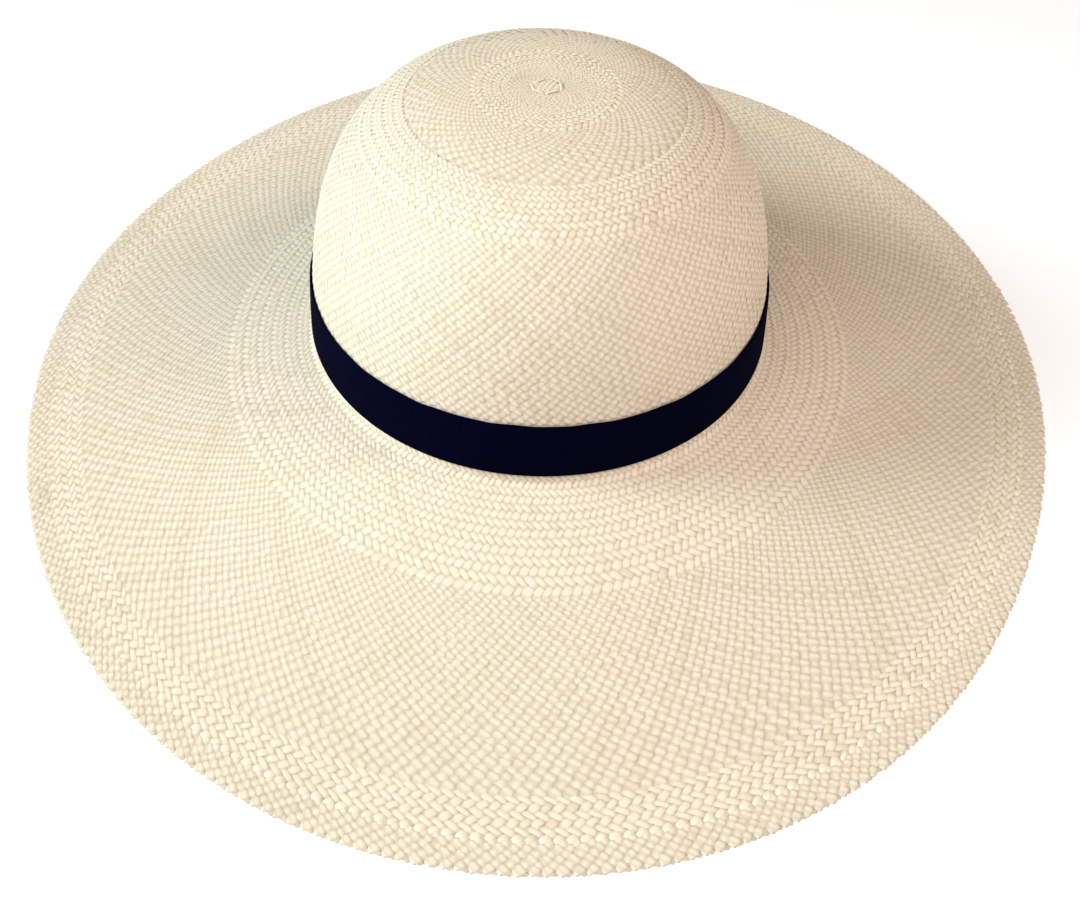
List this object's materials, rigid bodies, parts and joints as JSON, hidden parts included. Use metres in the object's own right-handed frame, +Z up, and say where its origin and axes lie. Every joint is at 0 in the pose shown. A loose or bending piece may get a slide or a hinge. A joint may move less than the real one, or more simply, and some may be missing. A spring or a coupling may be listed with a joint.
{
  "type": "straw sun hat",
  "caption": "Wide-brimmed sun hat woven in one piece from natural straw, with a round open crown, a plain dark ribbon round its foot and a sweatband inside.",
  "frame": {"origin": "on the table under the middle of the brim, where the hat stands", "axes": "+Z up through the crown, -Y towards the wearer's face, +X to the wearer's left, +Y and -Y along the longer way of the oval"},
  "size_m": [0.4102, 0.472, 0.1191],
  "materials": {
    "straw": "natural woven palm straw, matt with a faint sheen",
    "ribbon": "ribbed grosgrain, near-black navy, matt",
    "leather": "smooth tan leather, satin",
    "bow_ribbon": "narrow brown ribbon",
    "cord": "cloth-covered cord",
    "thread": "natural cotton thread",
    "label": "blank woven label"
  },
  "bodies": {
    "root": {"straw_body": "straw", "hat_band": "ribbon", "bow_tail": "ribbon", "bow_loops": "ribbon", "bow_keeper": "ribbon", "sweatband": "leather", "sweatband_reed": "cord", "sweatband_thread": "thread", "sweatband_bow": "bow_ribbon", "size_label": "label"}
  },
  "joints": []
}
